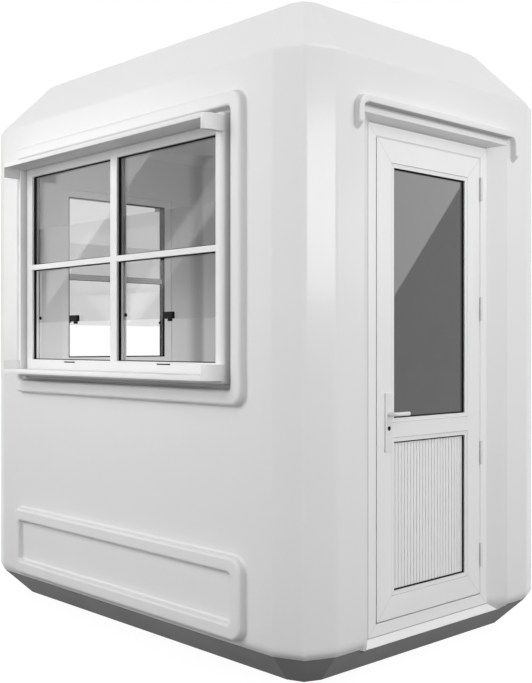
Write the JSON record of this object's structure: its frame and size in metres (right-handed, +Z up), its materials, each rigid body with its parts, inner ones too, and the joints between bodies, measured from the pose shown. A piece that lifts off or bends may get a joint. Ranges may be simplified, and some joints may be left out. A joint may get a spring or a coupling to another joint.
{
  "type": "guard booth",
  "caption": "Moulded white guard booth with chamfered corners, a bevelled roof, hooded sliding windows and a half-glazed hinged door, on a dark tapered base.",
  "frame": {"origin": "centre of the flat underside of the base, at ground level", "axes": "+Z up; the front wall with the door faces -Y; the wall on the left of the door faces -X"},
  "size_m": [1.75, 2.33, 2.452],
  "materials": {
    "shell": "satin gel coat",
    "base": "matt paint",
    "floor": "matt sheet",
    "frame": "satin",
    "hardware": "satin white paint",
    "glass": "clear",
    "rubber": "matt"
  },
  "bodies": {
    "booth": {"base_pan": "base", "floor_panel": "floor", "front_wall_left": "shell", "front_wall_right": "shell", "front_wall_head": "shell", "left_wall": "shell", "right_wall": "shell", "back_wall": "shell", "front_left_corner": "shell", "front_right_corner": "shell", "back_left_corner": "shell", "back_right_corner": "shell", "roof": "shell", "ceiling_panel": "shell", "door_rain_bead": "shell", "door_threshold": "frame", "door_frame": "frame", "door_frame_hinges": "hardware", "left_window_surround": "frame", "left_window_frame": "frame", "left_window_fixed_glass": "glass", "left_window_sliding_glass": "glass", "left_window_gaskets": "rubber", "left_window_latches": "rubber", "right_window_surround": "frame", "right_window_frame": "frame", "right_window_fixed_glass": "glass", "right_window_sliding_glass": "glass", "right_window_gaskets": "rubber", "right_window_latches": "rubber", "back_window_surround": "frame", "back_window_frame": "frame", "back_window_fixed_glass": "glass", "back_window_sliding_glass": "glass", "back_window_gaskets": "rubber", "back_window_latches": "rubber"},
    "door": {"door_leaf": "frame", "door_glass": "glass", "door_ribbed_panel": "frame", "door_gaskets": "rubber", "door_leaf_hinges": "hardware", "door_handle_plates": "hardware", "door_lock_cylinder": "rubber"},
    "lever": {"door_lever": "hardware"}
  },
  "joints": [
    {"name": "door_swing", "type": "hinge", "parent": "booth", "child": "door", "pos_m": [0.3245, -1.0461, 0], "axis": [0, 0, 1], "range_deg": [0, 100]},
    {"name": "lever_turn", "type": "hinge", "parent": "door", "child": "lever", "pos_m": [-0.26, -1.017, 0.938], "axis": [0, 1, 0], "range_deg": [0, 40], "stiffness_Nm_per_rad": 0.3}
  ]
}
